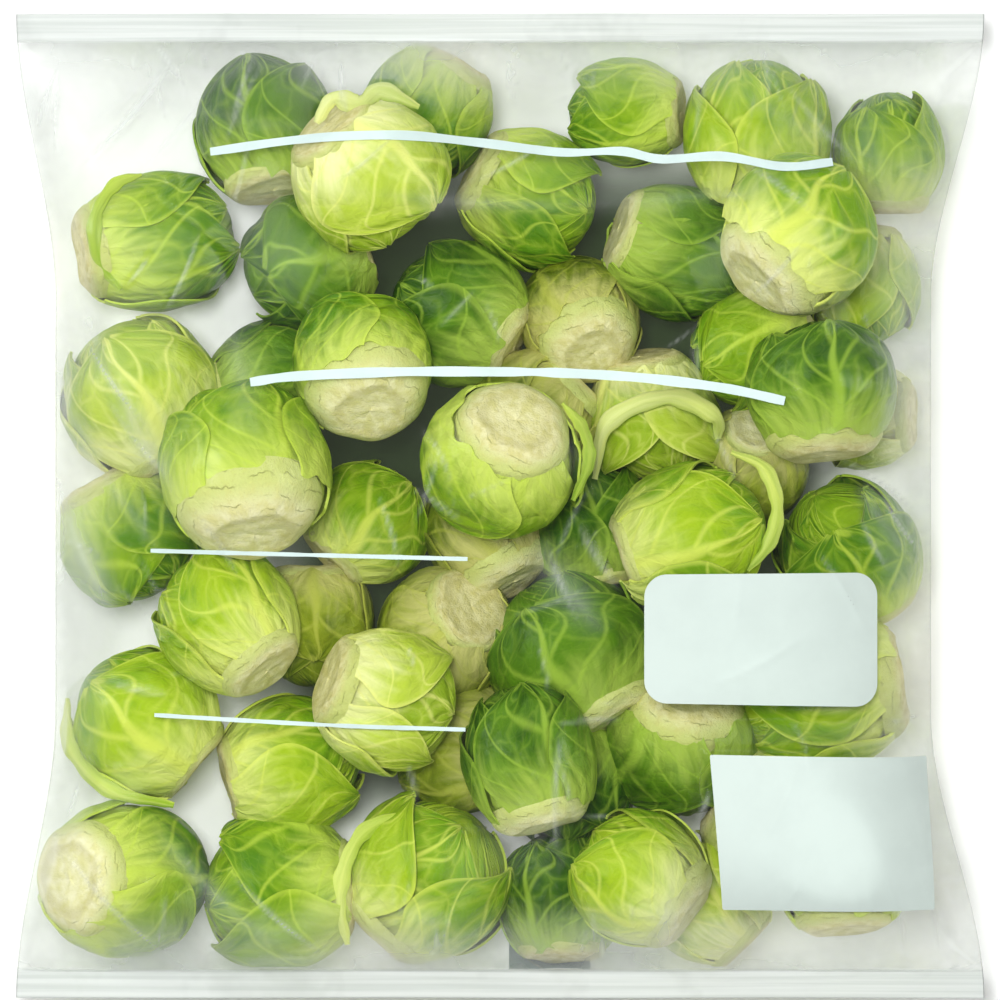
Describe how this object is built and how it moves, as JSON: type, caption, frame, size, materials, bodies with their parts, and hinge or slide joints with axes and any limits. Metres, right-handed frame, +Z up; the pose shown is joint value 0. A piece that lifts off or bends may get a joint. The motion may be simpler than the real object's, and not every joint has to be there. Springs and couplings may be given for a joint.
{
  "type": "bag of brussels sprouts",
  "caption": "Sealed clear film bag, crimped at both ends, packed with loose trimmed brussels sprouts and lying on its back.",
  "frame": {"origin": "on the surface that the bag lies on, under the middle of its bounding box", "axes": "+Z up through the bag's thickness, +Y along its length from the lower to the upper welded end, +X across its width to the right as the front is read"},
  "size_m": [0.182, 0.185, 0.0511],
  "materials": {
    "film": "clear thin film",
    "leaf_dark": "waxy leaf",
    "leaf_medium": "waxy leaf",
    "leaf_light": "waxy leaf",
    "leaf_pale": "waxy leaf",
    "leaf_olive": "waxy leaf"
  },
  "bodies": {
    "root": {"bag_film": "film", "sprout_01": "leaf_dark", "sprout_02": "leaf_medium", "sprout_03": "leaf_pale", "sprout_04": "leaf_medium", "sprout_05": "leaf_medium", "sprout_06": "leaf_light", "sprout_07": "leaf_light", "sprout_08": "leaf_dark", "sprout_09": "leaf_medium", "sprout_10": "leaf_light", "sprout_11": "leaf_medium", "sprout_12": "leaf_medium", "sprout_13": "leaf_medium", "sprout_14": "leaf_light", "sprout_15": "leaf_light", "sprout_16": "leaf_medium", "sprout_17": "leaf_light", "sprout_18": "leaf_pale", "sprout_19": "leaf_light", "sprout_20": "leaf_dark", "sprout_21": "leaf_light", "sprout_22": "leaf_light", "sprout_23": "leaf_medium", "sprout_24": "leaf_pale", "sprout_25": "leaf_dark", "sprout_26": "leaf_medium", "sprout_27": "leaf_dark", "sprout_28": "leaf_medium", "sprout_29": "leaf_light", "sprout_30": "leaf_dark", "sprout_31": "leaf_olive", "sprout_32": "leaf_medium", "sprout_33": "leaf_pale", "sprout_34": "leaf_olive", "sprout_35": "leaf_dark", "sprout_36": "leaf_pale", "sprout_37": "leaf_medium", "sprout_38": "leaf_olive", "sprout_39": "leaf_olive", "sprout_40": "leaf_dark", "sprout_41": "leaf_medium", "sprout_42": "leaf_dark", "sprout_43": "leaf_dark", "sprout_44": "leaf_dark", "sprout_45": "leaf_light", "sprout_46": "leaf_pale", "sprout_47": "leaf_pale", "sprout_48": "leaf_olive", "sprout_49": "leaf_olive", "sprout_50": "leaf_olive", "sprout_51": "leaf_dark"}
  },
  "joints": []
}
